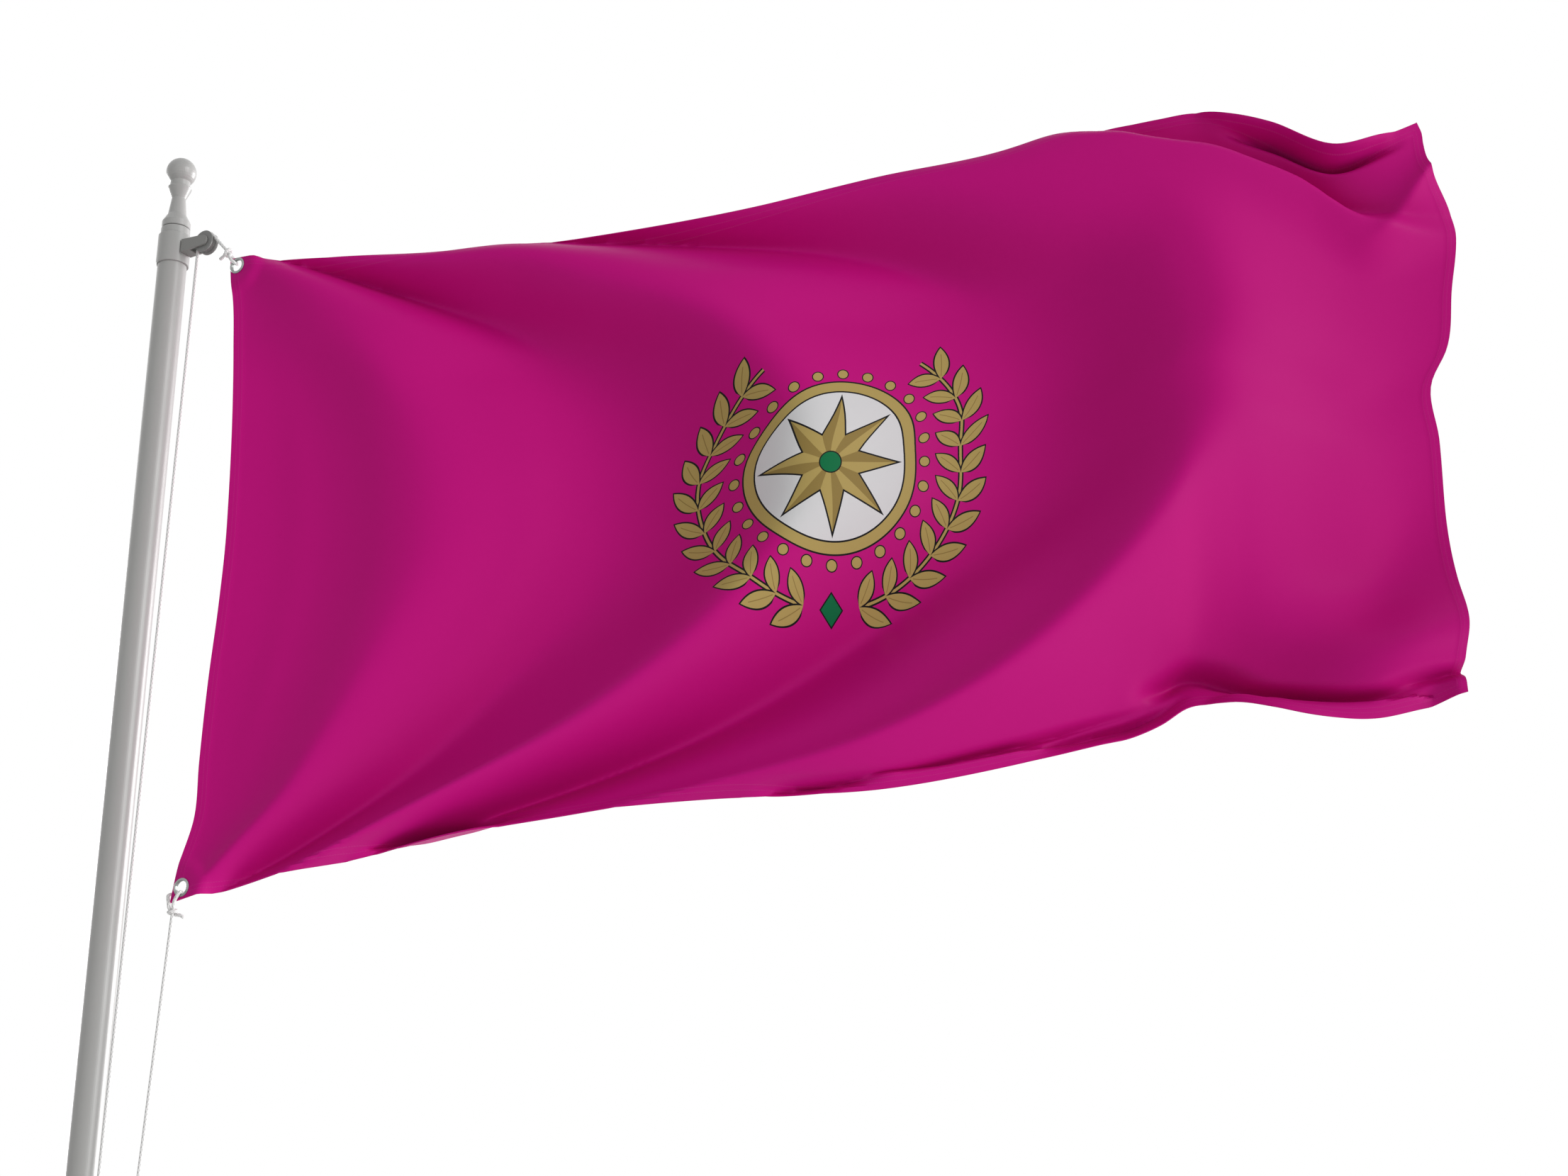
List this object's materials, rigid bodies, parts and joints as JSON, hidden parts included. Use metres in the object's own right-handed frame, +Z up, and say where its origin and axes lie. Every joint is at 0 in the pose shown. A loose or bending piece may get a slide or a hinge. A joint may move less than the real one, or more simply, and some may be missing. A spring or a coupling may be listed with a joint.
{
  "type": "city flag with flagpole top and halyard",
  "caption": "Wide rippled cloth flag flying from a round pole top with a ball finial, sheave, halyard and cleat.",
  "frame": {"origin": "centre of the pole's lower end face", "axes": "+Z up the pole, +X along the flag away from the pole, -Y out of the printed face"},
  "size_m": [1.7849, 0.2393, 1.906],
  "materials": {
    "pole_paint": "satin light grey",
    "bracket_grey": "satin mid grey",
    "sheave_grey": "satin grey",
    "magenta_cloth": "matte woven polyester",
    "eyelet_steel": "dull pressed metal",
    "white_rope": "matte braided cord"
  },
  "bodies": {
    "flag_on_pole": {"pole": "pole_paint", "truck_collar": "pole_paint", "finial": "pole_paint", "sheave_bracket": "bracket_grey", "axle_pin": "bracket_grey", "cleat": "bracket_grey", "flag_cloth": "magenta_cloth", "eyelet_top": "eyelet_steel", "eyelet_bottom": "eyelet_steel", "halyard": "white_rope"},
    "sheave_wheel": {"sheave": "sheave_grey"}
  },
  "joints": [
    {"name": "sheave_spin", "type": "hinge", "parent": "flag_on_pole", "child": "sheave_wheel", "pos_m": [0.05319, -0.0271, 1.7594], "axis": [0.454, 0.891, 0], "continuous": true}
  ]
}
